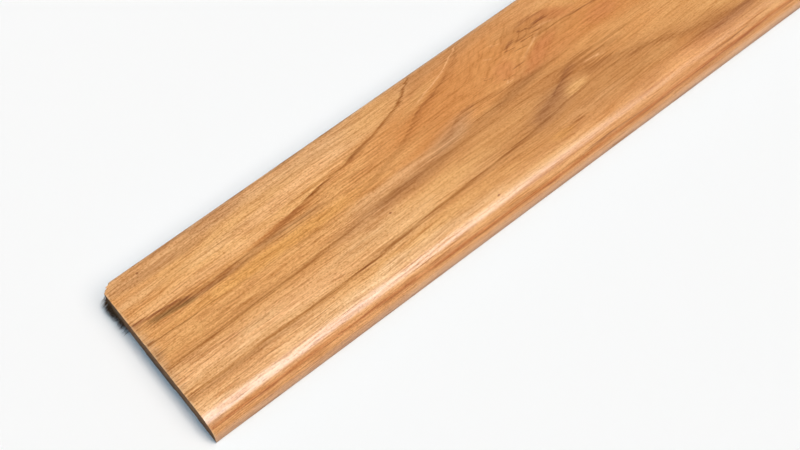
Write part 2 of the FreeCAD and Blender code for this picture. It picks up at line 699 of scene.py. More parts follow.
# growth rings of the board beyond the figure drawn below, as a slice through wandering cones, in mm
rings = {
    "spacing": 9.0,
    "heartWander": (500, 500, 500),
    "heartAcross": (90.0, -8.0),       # how far the heart wanders across, and from where
    "depthWander": (720, 720, 720),
    "heartDepth": (110.0, 10.0),
    "sway": (150, 26, 26),
    "swayRings": 1.6,
    "lateRise": (0.35, 0.96),          # each ring darkens slowly and ends sharply
    "lateFall": (1.0, 0.97),
    "lateDepth": (0.75, 0.2),          # how much the rings' darkness varies, and the least of it
    "zone": (260, 22, 22),             # broad zones of another colour
}


def growthRingGroup():
    group, given = newGroup("growthRing", {"Along": 0.0, "Across": 0.0, "High": 0.0, "Grain": (0, 0, 0)})
    lengthwise = addNode(group, "CombineXYZ", {0: given["Along"]}).outputs[0]
    heartAcross = maths("MULTIPLY_ADD", noiseAt(lengthwise, rings["heartWander"], seed=9, detail=1),
                        *rings["heartAcross"])
    heartDepth = maths("MULTIPLY_ADD", noiseAt(lengthwise, rings["depthWander"], seed=10, detail=1),
                       *rings["heartDepth"])
    sideways = maths("SUBTRACT", given["Across"], heartAcross)
    upward = addUp(given["High"], -boardThickness / mm, heartDepth)
    reach = maths("SQRT", addUp(multiply(sideways, sideways), multiply(upward, upward)))
    sway = multiply(noiseAt(given["Grain"], rings["sway"], seed=11), rings["swayRings"])
    ring = addUp(maths("DIVIDE", reach, rings["spacing"]), sway)
    phase = maths("FRACT", ring)
    which = addNode(group, "TexWhiteNoise", {"W": maths("FLOOR", ring)}, noise_dimensions="1D").outputs[0]
    late = multiply(easedStep(phase, *rings["lateRise"]), easedStep(phase, *rings["lateFall"]))
    return closeGroup(group, {
        "Dark": multiply(late, maths("MULTIPLY_ADD", which, *rings["lateDepth"])),
        "Zone": noiseAt(given["Grain"], rings["zone"], seed=12),
    })


growthRing = growthRingGroup()


# the drawn figure starts with soft fields of colour: tint, amount, centre and size in mm along and across
# the board, and any turn in degrees
fields = [
    ("straw", 0.9, (62, 61), (85, 11), 3),
    ("orange", 0.3, (4, 61), (26, 10)),
    ("rose", 0.5, (30, 73), (130, 8)),
    ("greyBrown", 0.5, (26, 68), (36, 3.5), -3),
    ("greyBrown", 0.5, (53, 72), (24, 4)),
    ("straw", 0.6, (62, 65), (70, 5), 2),
    ("cream", 0.3, (50, 62), (26, 4)),
    ("cream", 0.4, (38, 21), (60, 6)),
    ("peach", 0.5, (116, 27), (24, 5)),
    ("peach", 0.7, (128, 38), (20, 5)),
    ("peach", 0.5, (110, 62), (20, 4), 6),
    ("cream", 0.3, (84, 62.5), (70, 3), 3),
    ("peach", 0.5, (148, 22), (20, 5)),
    ("straw", 0.5, (84, 57.5), (24, 4), 8),
    ("orange", 0.5, (206, 48), (14, 5)),
    ("brown", 0.4, (196, 36), (22, 7)),
    ("orange", 0.4, (105, 57), (14, 4), 6),
    ("peach", 0.5, (30, 54.5), (60, 4)),
    ("rose", 0.6, (150, 69), (120, 10)),
    ("peach", 0.8, (84, 62), (46, 5), 6),
    ("peach", 0.95, (45, 23), (90, 8)),
    ("straw", 0.7, (125, 25), (65, 8), 1),
    ("honey", 0.8, (65, 44.5), (70, 5)),
    ("straw", 0.9, (70, 12), (130, 5)),
    ("peach", 0.6, (40, 12.5), (70, 4)),
    ("orange", 0.6, (172, 12.5), (60, 5)),
    ("orange", 0.5, (240, 12), (50, 4)),
    # cream along the top of the round and the face's edge is pale wood and partly a painted highlight beside
    # the lacquer's own; the patch at 168 mm along is painted highlight
    ("cream", 0.8, (25, 10.4), (60, 5)),
    ("cream", 0.6, (70, 8.6), (30, 3)),
    ("rose", 0.45, (22, 14.6), (60, 3)),
    ("cream", 0.5, (110, 9.5), (60, 4)),
    ("cream", 0.45, (168, 5.2), (60, 3)),
    ("apricot", 0.85, (150, -8), (600, 12)),
    ("orange", 0.5, (245, 6), (80, 8)),
    ("orange", 0.6, (250, -2), (80, 5)),
    ("orange", 0.5, (228, 33), (44, 6), -4),
    ("orange", 0.5, (212, 42), (18, 5)),
    ("orange", 0.85, (165, 57), (85, 26), 12),
    ("brown", 0.7, (205, 21), (85, 16), -2),
    ("brown", 0.4, (150, 33), (80, 5), 2),
    ("brown", 0.5, (210, 33), (40, 8), 4),
    ("greyBrown", 0.4, (170, 73), (60, 6)),
    ("brown", 0.7, (190, 42), (30, 6), 14),
    ("edgeGrey", 0.55, (151, 42.2), (19, 7), 12),
    ("greyBrown", 0.5, (122, 33.6), (38, 4.4), 2),
    ("edgeGrey", 0.25, (106, 38.6), (16, 4)),
    ("brown", 0.35, (165, 36.4), (22, 5)),
    ("edgeGrey", 0.5, (-1, 36), (6, 34)),
    ("straw", 0.3, (198, 65.2), (9, 4)),
    # cream on the top of the round: pale wood, partly a painted highlight
    ("cream", 0.6, (82, 7.6), (20, 2.6)),
    ("rose", 0.35, (97, 31), (22, 12)),
    ("cream", 0.3, (108, 20), (34, 7), 3),
    ("greyBrown", 0.3, (78, 48.8), (22, 3)),
    ("tan", 0.5, (96, 51), (22, 3)),
    ("brown", 0.7, (221, 28.4), (14, 4), -10),
    ("cream", 0.5, (33, 18.8), (54, 3), -1),
    ("cream", 0.8, (40, 24.3), (16, 2.6)),
    ("cream", 0.35, (87, 25), (24, 3)),
    ("cream", 0.35, (6, 28), (24, 3)),
    # cream on the top of the round: pale wood, partly a painted highlight
    ("cream", 0.8, (14, 9.4), (26, 2.4)),
    ("honey", 0.5, (187, 12.8), (9, 3)),
    ("apricot", 0.6, (252, 7.5), (22, 5)),
    ("greyBrown", 0.75, (193, 25.8), (22, 8), 14),
    ("brown", 0.75, (224, 35), (50, 5), -2),
    ("peach", 0.35, (206, 15.8), (26, 4)),
    ("straw", 0.45, (134, 13.4), (64, 4)),
    ("apricot", 0.5, (206, 9), (30, 3)),
    ("rust", 0.45, (272, 10), (30, 4)),
    ("orange", 0.6, (260, 13), (12, 6), -20),
    ("orange", 0.9, (245, 48), (60, 16)),
    ("rust", 0.75, (203, 47.5), (12, 4.5), 24),
    ("rust", 0.8, (211, 51.5), (10, 4), 10),
    ("rust", 0.8, (221, 60), (16, 4), -20),
    ("rust", 0.6, (240, 48), (14, 6)),
    ("rust", 0.6, (188, 51), (9, 6), 20),
    ("orange", 0.8, (150, 52), (34, 13), 16),
    ("brown", 0.4, (70, 51.6), (20, 3), 5),
    ("tan", 0.8, (255, 33), (60, 9), -8),
    ("straw", 0.8, (207, 26.5), (9, 3), 4),
    ("brown", 0.7, (276, 13), (36, 8), -10),
    ("brown", 0.5, (210, 60), (24, 9), -18),
    ("straw", 0.6, (131, 68.8), (24, 9), 4),
    ("brown", 0.5, (154, 68), (12, 6), 40),
    ("straw", 0.5, (149, 62.6), (18, 3.6), 18),
    ("straw", 0.35, (125, 47), (36, 5), 6),
    ("rust", 0.3, (204, 46), (30, 6)),
    ("cream", 0.7, (97, 11.6), (12, 3)),
    ("cream", 0.3, (102, 25), (36, 5)),
    ("cream", 0.35, (6, 62.5), (24, 4)),
    ("tan", 0.3, (30, 57.5), (22, 4)),
    ("orange", 0.4, (250, 33), (16, 5)),
    ("rust", 0.35, (176, 3.2), (40, 2.6)),
    ("greyBrown", 0.4, (2, 2), (12, 4)),
    ("apricot", 0.45, (26, 11.5), (44, 5)),
    ("rose", 0.4, (130, 39.6), (34, 3.6)),
]

# then come its streaks: colour, amount, how far it fades above and below the line and along it at its ends,
# and the points that the line runs through, in mm along and across
streaks = [
    ("late", 0.36, 0.8, 3.2, 30, (-60, 58.2), (0, 54.4), (10, 53), (20, 50.8), (40, 49.8), (55, 51),
        (80, 54.4), (100, 57.2), (122, 61)),
    ("heart", 0.6, 0.8, 1.8, 6, (-60, 57.8), (0, 53.9), (6, 53.2), (12, 52.4), (20, 51.2), (25, 50.6)),
    ("late", 0.3, 3, 6, 12, (-60, 55.5), (0, 51.5), (20, 48.5)),
    ("olive", 0.9, 1.5, 1.8, 6, (4, 51), (10, 50.3), (16, 49.6), (22, 49), (30, 48.2)),
    ("heart", 0.5, 1.2, 1.6, 6, (18.5, 50.4), (23, 49.9), (27, 49), (38, 48.4)),
    ("late", 0.38, 0.6, 1, 10, (22, 50.6), (34, 50.2), (50, 50.2), (64, 50.8), (78, 51.2), (100, 51)),
    ("grey", 0.46, 1.8, 1.4, 14, (24, 48.2), (40, 48.1), (60, 49.2), (75, 49.8), (96, 49.4)),
    ("peach", 0.4, 0.5, 0.6, 4, (40, 48.4), (50, 48.8)),
    ("late", 0.32, 0.4, 0.7, 10, (32, 47), (50, 47.6), (70, 48.2), (80, 48), (96, 48.4)),
    ("amber", 0.5, 0.8, 3, 16, (48, 51.6), (60, 52.4), (70, 53.2), (80, 54.2), (96, 56)),
    ("late", 0.4, 0.4, 1.2, 10, (36, 50), (55, 51), (65, 51.3), (72, 52.2), (84, 53.4)),
    ("late", 0.78, 0.5, 1.5, 9, (70, 52.8), (80, 54.3), (90, 55.7), (100, 57), (107, 57.6), (112, 58.7),
        (118, 60), (126, 61.1)),
    ("late", 0.6, 0.7, 0.8, 3, (108.5, 59.8), (114, 59.7), (118, 60.2)),
    ("late", 0.74, 0.7, 1.6, 5, (109, 58.3), (112, 59.1), (116, 59.8), (120, 60.5), (124, 61), (128, 62),
        (131, 63), (134, 63.8), (138, 64.9), (142, 66.1), (145, 67.5), (148, 69.8), (150, 71.6), (152, 73.1),
        (154, 74.6), (158, 76.4)),
    ("late", 0.5, 1, 2.8, 4, (141, 65.8), (145, 68), (148, 70.4), (151, 72.8)),
    ("late", 0.3, 1, 1.6, 4, (110, 58.4), (121, 59)),
    ("late", 0.6, 0.35, 0.55, 30, (-60, 47.4), (0, 43.2), (6, 42.7), (20, 42.5), (30, 42.3), (45, 41.6),
        (60, 41.1), (80, 41.1), (104, 40.6)),
    ("late", 0.8, 0.7, 1.1, 12, (-60, 46.9), (0, 42.8), (8, 42.6), (28, 42.4)),
    ("grey", 0.5, 2.6, 3, 8, (-60, 41.6), (0, 37.6), (9, 36.8)),
    ("late", 0.55, 0.7, 2, 24, (-60, 32), (0, 31.2), (15, 31), (30, 31.2), (40, 31.6), (60, 32.1), (80, 32.4),
        (95, 33.2), (106, 33.8)),
    ("late", 0.25, 2.4, 4.6, 50, (-60, 30.4), (0, 31.6), (40, 32.4), (80, 33.6), (110, 35), (150, 36)),
    ("grey", 0.28, 3.4, 3.6, 34, (84, 34.9), (100, 35.4), (130, 36.4), (160, 38), (190, 41), (232, 44)),
    ("late", 0.3, 1.6, 2.6, 22, (96, 34.4), (120, 34.8), (140, 35), (172, 36.4)),
    ("late", 0.3, 0.35, 0.7, 12, (122, 38.4), (140, 38), (150, 38.4), (160, 39.6), (168, 39.9), (186, 38.6)),
    ("peach", 0.5, 0.5, 0.5, 20, (88, 38.6), (100, 39.4), (125, 39.4), (140, 39.2), (160, 38.4)),
    ("peach", 0.4, 0.5, 0.5, 10, (126, 37.3), (140, 37.2), (158, 37.6)),
    ("late", 0.34, 1.2, 3, 12, (138, 40.4), (148, 41.4), (154, 43.8), (158, 45.9), (165, 46.5), (175, 45.4),
        (196, 43)),
    ("late", 0.2, 1.8, 2.6, 18, (155, 40), (168, 40), (182, 39.6), (192, 41.4), (204, 45.6), (212, 49)),
    ("late", 0.34, 1, 3.4, 14, (100, 43), (112, 45.3), (124, 48.3), (130, 49.7), (135, 52), (140, 54.8),
        (145, 57.4), (150, 59.4), (160, 62.6), (165, 64.2), (172, 66.8), (176, 69), (183, 76), (188, 76)),
    ("late", 0.36, 0.5, 0.8, 5, (142, 56.2), (147, 58.4), (152, 59.7), (157, 61), (160, 62.4), (165, 63.8),
        (170, 65.6)),
    ("peach", 0.8, 0.6, 0.5, 4, (146, 60.4), (153, 63), (162, 65.2), (168, 67.2), (171, 68.9), (176, 71.5),
        (181, 74.2), (183, 76), (190, 76)),
    ("peach", 0.55, 0.9, 0.8, 4, (197, 49.6), (202, 52.2), (207, 54.6), (213, 57)),
    ("late", 0.75, 0.5, 0.9, 8, (208, 56.4), (214, 55.9), (221, 55.4), (232, 54.3), (262, 52), (300, 52)),
    ("heart", 0.5, 0.9, 0.9, 6, (224, 55.2), (232, 54.4), (245, 53.2), (260, 52.4)),
    ("heart", 0.5, 0.4, 0.5, 2, (202, 62.6), (205, 61.6), (208, 60.4)),
    ("heart", 0.55, 0.4, 0.5, 2, (206, 61.8), (210, 60.2), (216, 59.4)),
    ("heart", 0.6, 0.5, 0.6, 3, (209, 61), (214, 60.8), (221, 59.7)),
    ("heart", 0.6, 0.4, 0.5, 3, (207, 58.4), (211, 57.8), (217, 57)),
    ("heart", 0.7, 0.3, 0.4, 2, (192, 57.8), (195, 57.2), (199, 56.4)),
    ("heart", 0.6, 0.3, 0.4, 2, (201, 57.2), (205, 57), (210, 56.4)),
    ("heart", 0.4, 1, 2, 5, (202, 62.2), (208, 64.6), (214, 64.4), (221, 62)),
    ("heart", 0.4, 0.4, 0.5, 3, (196, 59.6), (200, 59.4), (205, 58.6), (209, 59)),
    ("heart", 0.4, 0.3, 0.4, 2, (196, 55.6), (200, 55.2), (205, 54.4)),
    ("heart", 0.5, 1.5, 1.6, 3, (194, 58.8), (198, 59.6), (202, 60.4)),
    ("heart", 0.45, 0.4, 0.5, 2, (190, 49.2), (194, 48.9), (198, 48.9)),
    ("heart", 0.5, 0.3, 0.4, 2, (183, 47.9), (186, 47), (190, 46.6)),
    ("peach", 0.8, 0.35, 0.4, 2, (183, 46.4), (187, 45.4), (190, 45.6)),
    ("peach", 0.35, 0.5, 0.6, 2, (183, 61.2), (186, 59.6), (189, 58.6)),
    ("peach", 0.35, 0.5, 0.6, 3, (189, 64.8), (193, 63), (197, 61)),
    ("peach", 0.45, 0.5, 0.6, 3, (212, 58.6), (217, 58.4), (223, 56.8)),
    ("heart", 0.5, 0.3, 0.4, 2, (176, 54), (179, 52.4), (182, 51.2)),
    ("heart", 0.4, 0.3, 0.4, 2, (160, 47.4), (164, 46.6), (168, 46)),
    ("late", 0.55, 0.5, 2.6, 22, (-60, 20.1), (0, 17.4), (20, 16.5), (40, 16.4), (60, 16.6), (70, 17),
        (80, 16.7), (90, 17.2), (110, 18.5), (150, 19.9), (165, 20.4), (180, 21.5), (196, 24)),
    ("late", 0.24, 0.35, 0.6, 12, (54, 16.3), (70, 16.8), (80, 16.5), (110, 18.2), (150, 19.7), (165, 20.2),
        (188, 22)),
    ("heart", 0.3, 2.6, 4, 8, (178, 22), (186, 25), (192, 27), (197, 28.6), (201, 30.4), (205, 32.6),
        (209, 34.6), (217, 35.6)),
    ("late", 0.5, 1, 1.3, 10, (208, 34.4), (220, 34.4), (246, 34)),
    ("late", 0.5, 0.6, 1.1, 12, (198, 32.6), (206, 35.8), (214, 36.6), (226, 36.7), (250, 35.6)),
    ("heart", 0.32, 0.8, 1.1, 4, (203, 32.8), (207, 34.4), (211, 34.8), (215, 34)),
    ("heart", 0.4, 0.5, 0.7, 3, (194, 28.2), (198, 29.4), (202, 31.4), (207, 32.6), (212, 32.6)),
    ("heart", 0.18, 0.7, 0.9, 4, (210, 33.4), (216, 32.4), (222, 30.9)),
    ("peach", 0.8, 0.5, 0.7, 3, (216, 32.8), (219, 33), (224, 32.2), (227, 30.8)),
    ("late", 0.3, 1.5, 4, 8, (209, 29.4), (219, 29.8), (226, 29.1), (232, 27), (240, 24.8), (247, 22.5),
        (256, 19.6), (266, 15.8), (280, 13.4), (310, 12.6), (330, 12.6)),
    ("late", 0.4, 0.4, 0.9, 12, (180, 21.4), (192, 22.7), (200, 23.9), (215, 24.5), (230, 24.1), (262, 21)),
    ("late", 0.5, 2.2, 2.4, 18, (246, 12.8), (262, 11.8), (280, 11), (310, 12), (320, 12)),
    ("late", 0.3, 2, 2.2, 12, (76, 17), (90, 17.6), (104, 18.6), (124, 18.8)),
    ("late", 0.3, 1, 1, 8, (84, 18.8), (96, 19.4), (118, 19.8)),
    ("late", 0.25, 0.8, 1.2, 6, (86, 26.2), (100, 26.4)),
    ("late", 0.5, 0.4, 0.5, 6, (10, 36.2), (34, 35.4)),
    ("late", 0.45, 0.4, 0.5, 7, (16, 38.6), (46, 37.6)),
    ("late", 0.35, 0.35, 0.5, 8, (6, 11.8), (44, 11.2)),
    ("late", 0.5, 0.5, 0.9, 14, (-60, 17), (0, 15), (20, 14.4), (40, 14.8), (54, 15)),
    ("late", 0.3, 0.4, 0.6, 10, (2, 13.8), (20, 13.3), (46, 13.4)),
    ("late", 0.4, 0.3, 0.35, 8, (4, 7.7), (30, 7.3), (54, 6.9)),
    ("late", 0.5, 0.35, 0.5, 8, (38, 12), (72, 11.6)),
    ("late", 0.4, 0.35, 0.5, 8, (108, 12.9), (130, 12.7)),
    ("late", 0.3, 1, 1.2, 12, (156, 2.4), (190, 2.4)),
    ("late", 0.5, 0.35, 0.5, 5, (8, 21.6), (30, 21.2)),
    ("late", 0.5, 0.35, 0.5, 5, (4, 27.4), (28, 26.8)),
    ("heart", 0.5, 0.5, 0.6, 10, (186, -0.6), (210, -1), (232, -1.4)),
    ("heart", 0.45, 0.6, 0.7, 10, (258, 1.8), (275, 2.2), (292, 2)),
    ("late", 0.7, 0.8, 0.9, 3.5, (192, 14), (201, 13.6)),
    # the next four streaks paint shade, not grain: the dark band along the round under its highlight, where
    # it turns away from the light; late and amber here stand for that shade
    ("late", 0.26, 2, 2.4, 60, (-60, -1.2), (0, -1.2), (60, -1.4), (100, -2.2), (140, -3.4), (172, -4),
        (205, -3.6), (245, -2.4), (320, -1.2), (420, -1.2)),
    ("amber", 0.75, 2.2, 1.6, 50, (-60, -1.2), (0, -1.2), (80, -1.6), (140, -3.2), (172, -4), (205, -3.6),
        (245, -2.2), (320, -1.4), (420, -1.4)),
    ("late", 0.26, 0.8, 1.4, 60, (-60, -1.6), (0, -1.6), (80, -2), (140, -3.6), (172, -4.4), (205, -4),
        (245, -2.8), (320, -1.6), (420, -1.6)),
    ("late", 0.3, 1.5, 1.7, 24, (66, -0.4), (100, -0.8), (150, -1.3), (220, -1.5)),
    ("edgeGrey", 0.95, 2, 1.8, 40, (-60, 74.9), (0, 74.9), (320, 74.9), (420, 74.9)),
]

# small dark flecks: along and across in mm
flecks = {"spots": [(15, 71), (148, 7.8), (109, 29)], "size": (0.9, 0.6), "stain": "heart", "amount": 0.8}

figure = {
    "lineStart": -60.0,            # mm along that a drawn line can cover, and across
    "lineReach": 480.0,
    "lineLow": -20.0,
    "lineSpan": 100.0,
    "drawnEnd": (330.0, 410.0),    # along plus across times the slope, where the drawn figure gives way
    "drawnSlope": 1.37,
    "fray": (50, 1.1, 1.1),        # patch size of the strands that fray a streak's edges
    "fineFray": (14, 0.7, 0.7),
    "frayAcross": 2.0,             # and how far they reach, in mm
    "fineFrayAcross": 0.9,
    "frayAlong": 8.0,
    "strandRange": (0.36, 0.64),   # a streak is stronger along the fibres and the hairs
    "strandShare": 0.35,           # by this much for each
    "strandLeast": 0.65,           # over this much everywhere
    "mottle": (70, 5, 5),          # patch size of the mottled ground
    "mottleRange": (0.35, 0.65),
    "drawnMottle": 0.45,
    "plainMottle": 0.3,
    "strawZone": (0.5, 0.68),      # the plain wood's broad zones
    "orangeZone": (0.48, 0.3),
    "lateRings": 0.8,              # how dark its growth rings are
    "fineEnd": (95.0, 150.0),      # the grain is finest and strongest up to here
    "fineLoss": 0.35,
}


def drawnLine(share, points):
    curve = addNode(treeOf(share), "FloatCurve", {"Value": share})
    line = curve.mapping.curves[0]
    places = [((along - figure["lineStart"]) / figure["lineReach"],
               (across - figure["lineLow"]) / figure["lineSpan"]) for along, across in points]
    line.points[0].location, line.points[1].location = places[0], places[-1]
    for place in places[1:-1]:
        line.points.new(*place)
    curve.mapping.extend = "HORIZONTAL"
    curve.mapping.update()
    return maths("MULTIPLY_ADD", curve.outputs[0], figure["lineSpan"], figure["lineLow"])


# how the fibres colour the wood, dark ones first: noise from, noise to, colour and amount
strands = {
    "Broad": [(0.48, 0.70, (0.84, 0.75, 0.62, 1), 0.55), (0.50, 0.34, (1.07, 1.10, 1.14, 1), 0.60)],
    "Fibre": [(0.50, 0.70, (0.76, 0.62, 0.46, 1), 0.68), (0.50, 0.34, (1.10, 1.15, 1.20, 1), 0.68)],
    "Fleck": [(0.52, 0.72, (0.76, 0.63, 0.47, 1), 0.85), (0.50, 0.34, (1.09, 1.13, 1.19, 1), 0.85)],
    "Hair": [(0.50, 0.70, (0.74, 0.60, 0.44, 1), 0.66), (0.50, 0.34, (1.08, 1.14, 1.20, 1), 0.66)],
    "Curl": [(0.50, 0.72, (0.74, 0.60, 0.44, 1), 0.60), (0.50, 0.32, (1.10, 1.16, 1.22, 1), 0.60)],
    "Pore": [(0.0, 1.0, (0.60, 0.44, 0.28, 1), 0.55)],
}


def layStrands(wood, fibre, label, strength):
    for zeroAt, oneAt, tint, amount in strands[label]:
        share = multiply(easedStep(fibre[label], zeroAt, oneAt), strength, amount)
        wood = blendColour(wood, tint, share, "MULTIPLY")
    return wood


def drawnFigure(where, fibre, mottle):
    # one frayed place serves every field and streak, and Cycles then has few values to hold at a time
    fray = swayAt(where["Grain"], figure["fray"], seed=14)
    fineFray = swayAt(where["Grain"], figure["fineFray"], seed=15)
    along = maths("MULTIPLY_ADD", fray, figure["frayAlong"], where["Along"])
    ring = addUp(where["Ring"], multiply(fray, figure["frayAcross"]),
                 multiply(fineFray, figure["fineFrayAcross"]))
    drawn = blendColour(paint("tan"), paint("straw"), multiply(mottle, figure["drawnMottle"]))
    for tint, amount, *oval in fields:
        drawn = lay(drawn, tint, multiply(placePatch(along, ring, *oval), amount))

    share = maths("DIVIDE", maths("SUBTRACT", along, figure["lineStart"]), figure["lineReach"])
    strand = addUp(*[multiply(easedStep(fibre[label], *figure["strandRange"]), figure["strandShare"])
                     for label in ("Fibre", "Hair")], figure["strandLeast"])
    for colour, amount, above, below, taper, *points in streaks:
        mask = placeGroup(treeOf(share), grainStreak, {
            "Along": along, "Ring": ring, "Line": drawnLine(share, points), "Above": above, "Below": below,
            "From": points[0][0], "To": points[-1][0], "Taper": taper,
        })["Mask"]
        drawn = lay(drawn, colour, multiply(mask, strand, amount))

    for spot in flecks["spots"]:
        mask = placePatch(where["Along"], where["Across"], spot, flecks["size"])
        drawn = lay(drawn, flecks["stain"], multiply(mask, flecks["amount"]))
    return drawn


def plainFigure(where, mottle):
    ring = placeGroup(treeOf(mottle), growthRing,
                      {label: where[label] for label in ("Along", "Across", "High", "Grain")})
    plain = blendColour(paint("tan"), paint("straw"), easedStep(ring["Zone"], *figure["strawZone"]))
    plain = lay(plain, "orange", easedStep(ring["Zone"], *figure["orangeZone"]))
    plain = lay(plain, "peach", multiply(mottle, figure["plainMottle"]))
    return lay(plain, "late", multiply(ring["Dark"], figure["lateRings"]))


def woodFigureGroup():
    group, given = newGroup("woodFigure", {"Fibre Strength": 1.0, "Pore Strength": 1.0})
    where = placeGroup(group, boardPlace)
    along, ring = where["Along"], where["Ring"]
    fibre = placeGroup(group, fibreGrain, {"Grain": where["Grain"]})
    mottle = easedStep(noiseAt(where["Grain"], figure["mottle"], seed=13), *figure["mottleRange"])
    past = maths("MULTIPLY_ADD", ring, figure["drawnSlope"], along)
    wood = blendColour(drawnFigure(where, fibre, mottle), plainFigure(where, mottle),
                       easedStep(past, *figure["drawnEnd"]))

    # curl shows where the figure is orange
    curled = placePatch(along, ring, grain["curlCentre"], grain["curlSize"])
    wood = layStrands(wood, fibre, "Curl", curled)

    # and the fibres run through all of it
    fading = easedStep(along, *figure["fineEnd"])
    strength = multiply(given["Fibre Strength"], lessen(fading, figure["fineLoss"]),
                        lessen(curled, grain["curlLoss"]))
    for label in ("Broad", "Fibre", "Fleck", "Hair"):
        wood = layStrands(wood, fibre, label, strength)
    wood = layStrands(wood, fibre, "Pore", multiply(strength, given["Pore Strength"]))
    return closeGroup(group, {"Colour": wood, "Pore": fibre["Pore"], "Fibre": fibre["Fibre"]})


woodFigure = woodFigureGroup()


def newMaterial(name):
    material = bpy.data.materials.new(name)
    material.use_nodes = True
    tree = material.node_tree
    tree.nodes.clear()
    shader = addNode(tree, "BsdfPrincipled")
    addNode(tree, "OutputMaterial", {"Surface": shader.outputs[0]})
    return material, tree, shader.inputs


# a satin lacquer, fuller on the round than on the rubbed face
lacquer = {
    "wood": {"Fibre Strength": 1.0, "Pore Strength": 1.0},
    "shader": {"Specular IOR Level": 0.15, "Coat Roughness": 0.24, "Coat IOR": 1.6},
    "wear": (6, 3, 3),             # raw wood shows in rags beside the sawn end
    "wearRange": (0.4, 0.6),
    "wearReach": (1.1, 0.1),       # mm from the end where it begins, and where it is full
    "wearAmount": 0.6,
    "footShade": (5.0, 0.5),       # mm up from the back where the edges darken towards the floor
    "footAmount": 0.7,
    "roughness": 0.32,
    "poreRoughness": 0.25,
    "fibreRoughness": 0.3,
    "faceCoat": 0.3,
    "roundCoat": 1.0,
    "roundFrom": (15.0, 8.0),      # mm from the top edge where the fuller coat begins, and where it is full
    "roundFoot": (9.0, 12.5),      # the same up from the back
    "standing": (0.45, 0.68),      # fibres that stand up
    "fibreLoss": 0.45,             # coat lost where the fibres stand up, and in the pores
    "poreLoss": 0.45,
    "fibreRelief": -1.2,
    "depth": 0.03 * mm,
}


def lacqueredFace(where, wood):
    rags = easedStep(noiseAt(where["Grain"], lacquer["wear"], seed=20, detail=3), *lacquer["wearRange"])
    worn = multiply(easedStep(where["Along"], *lacquer["wearReach"]), rags, lacquer["wearAmount"])
    colour = lay(wood["Colour"], "rawWood", worn)
    # the face grows darker towards the floor
    foot = easedStep(where["High"], *lacquer["footShade"])
    colour = lay(colour, "grey", multiply(foot, lacquer["footAmount"]))
    # the floor around the board is lit by it as by grey wood, and so stays white
    colour = lay(colour, "bounceGrey", addNode(treeOf(colour), "LightPath").outputs["Is Diffuse Ray"])
    roughness = addUp(lacquer["roughness"], multiply(wood["Pore"], lacquer["poreRoughness"]),
                      multiply(maths("SUBTRACT", wood["Fibre"], 0.5), lacquer["fibreRoughness"]))

    fuller = multiply(easedStep(where["Across"], *lacquer["roundFrom"]),
                      easedStep(where["High"], *lacquer["roundFoot"]))
    coat = maths("MULTIPLY_ADD", fuller, lacquer["roundCoat"] - lacquer["faceCoat"], lacquer["faceCoat"])
    standing = easedStep(wood["Fibre"], *lacquer["standing"])
    coat = multiply(coat, lessen(standing, lacquer["fibreLoss"]), lessen(wood["Pore"], lacquer["poreLoss"]))
    relief = addUp(multiply(wood["Pore"], -1.0), multiply(wood["Fibre"], lacquer["fibreRelief"]))
    return {"Base Color": colour, "Roughness": roughness, "Coat Weight": coat,
            "Normal": bumped(relief, lacquer["depth"])}


# both ends, stained darker than the face, with painted shade going grey towards the floor
endGrain = {
    "wood": {"Fibre Strength": 0.6, "Pore Strength": 0.3},
    "shader": {"Roughness": 0.8, "Specular IOR Level": 0.1},
    "floorShadeHigh": (10.0, 2.0),       # mm up from the back where the painted shade towards the floor begins, and where it is full
    "greyAcross": (56.0, 64.0),    # the same from the top edge, where the end also greys towards the knocked corner
    "stainAmount": 0.9,
    "sawMark": (3.0, 0.7, 14.0),
    "markRange": (0.4, 0.65),
    "markTint": (0.6, 0.55, 0.5, 1),
    "markAmount": 0.5,
    "markRelief": 1.5,
    "pore": (4, 0.35, 0.35),
    "poreRange": (0.56, 0.7),
    "poreTint": (0.35, 0.28, 0.22, 1),
    "poreAmount": 0.6,
    "depth": 0.1 * mm,
}


def sawnEndGrain(where, wood):
    marks = noiseAt(where["Grain"], endGrain["sawMark"], seed=21)
    marked = multiply(easedStep(marks, *endGrain["markRange"]), endGrain["markAmount"])
    pores = easedStep(noiseAt(where["Grain"], endGrain["pore"], seed=22, detail=1), *endGrain["poreRange"])
    # painted shade: the end goes grey towards the floor, and it also greys towards the knocked corner
    greyed = maths("MAXIMUM", easedStep(where["High"], *endGrain["floorShadeHigh"]),
                   easedStep(where["Across"], *endGrain["greyAcross"]))
    stain = blendColour(paint("endBrown"), paint("endGrey"), greyed)
    colour = blendColour(wood["Colour"], stain, endGrain["stainAmount"])
    colour = blendColour(colour, endGrain["markTint"], marked, "MULTIPLY")
    colour = blendColour(colour, endGrain["poreTint"], multiply(pores, endGrain["poreAmount"]), "MULTIPLY")
    relief = addUp(multiply(pores, -1.0), multiply(marks, endGrain["markRelief"]))
    return {"Base Color": colour, "Normal": bumped(relief, endGrain["depth"])}


# the bare back, paler than the face
backWood = {
    "wood": {"Fibre Strength": 1.0, "Pore Strength": 1.3},
    "shader": {},
    "paleAmount": 0.4,
    "leastRoughness": 0.52,
    "fibreRoughness": 0.2,
    "knifeMark": 1.6,              # mm from ripple to ripple, which the planer's knives left
    "knifeRelief": 0.2,
    "poreRelief": -1.5,
    "depth": 0.02 * mm,
}


def planedBack(where, wood):
    colour = lay(wood["Colour"], "backWood", backWood["paleAmount"])
    roughness = maths("MULTIPLY_ADD", wood["Fibre"], backWood["fibreRoughness"], backWood["leastRoughness"])
    knives = maths("SINE", multiply(where["Along"], 2 * math.pi / backWood["knifeMark"]))
    relief = addUp(multiply(wood["Pore"], backWood["poreRelief"]), multiply(knives, backWood["knifeRelief"]))
    return {"Base Color": colour, "Roughness": roughness, "Normal": bumped(relief, backWood["depth"])}


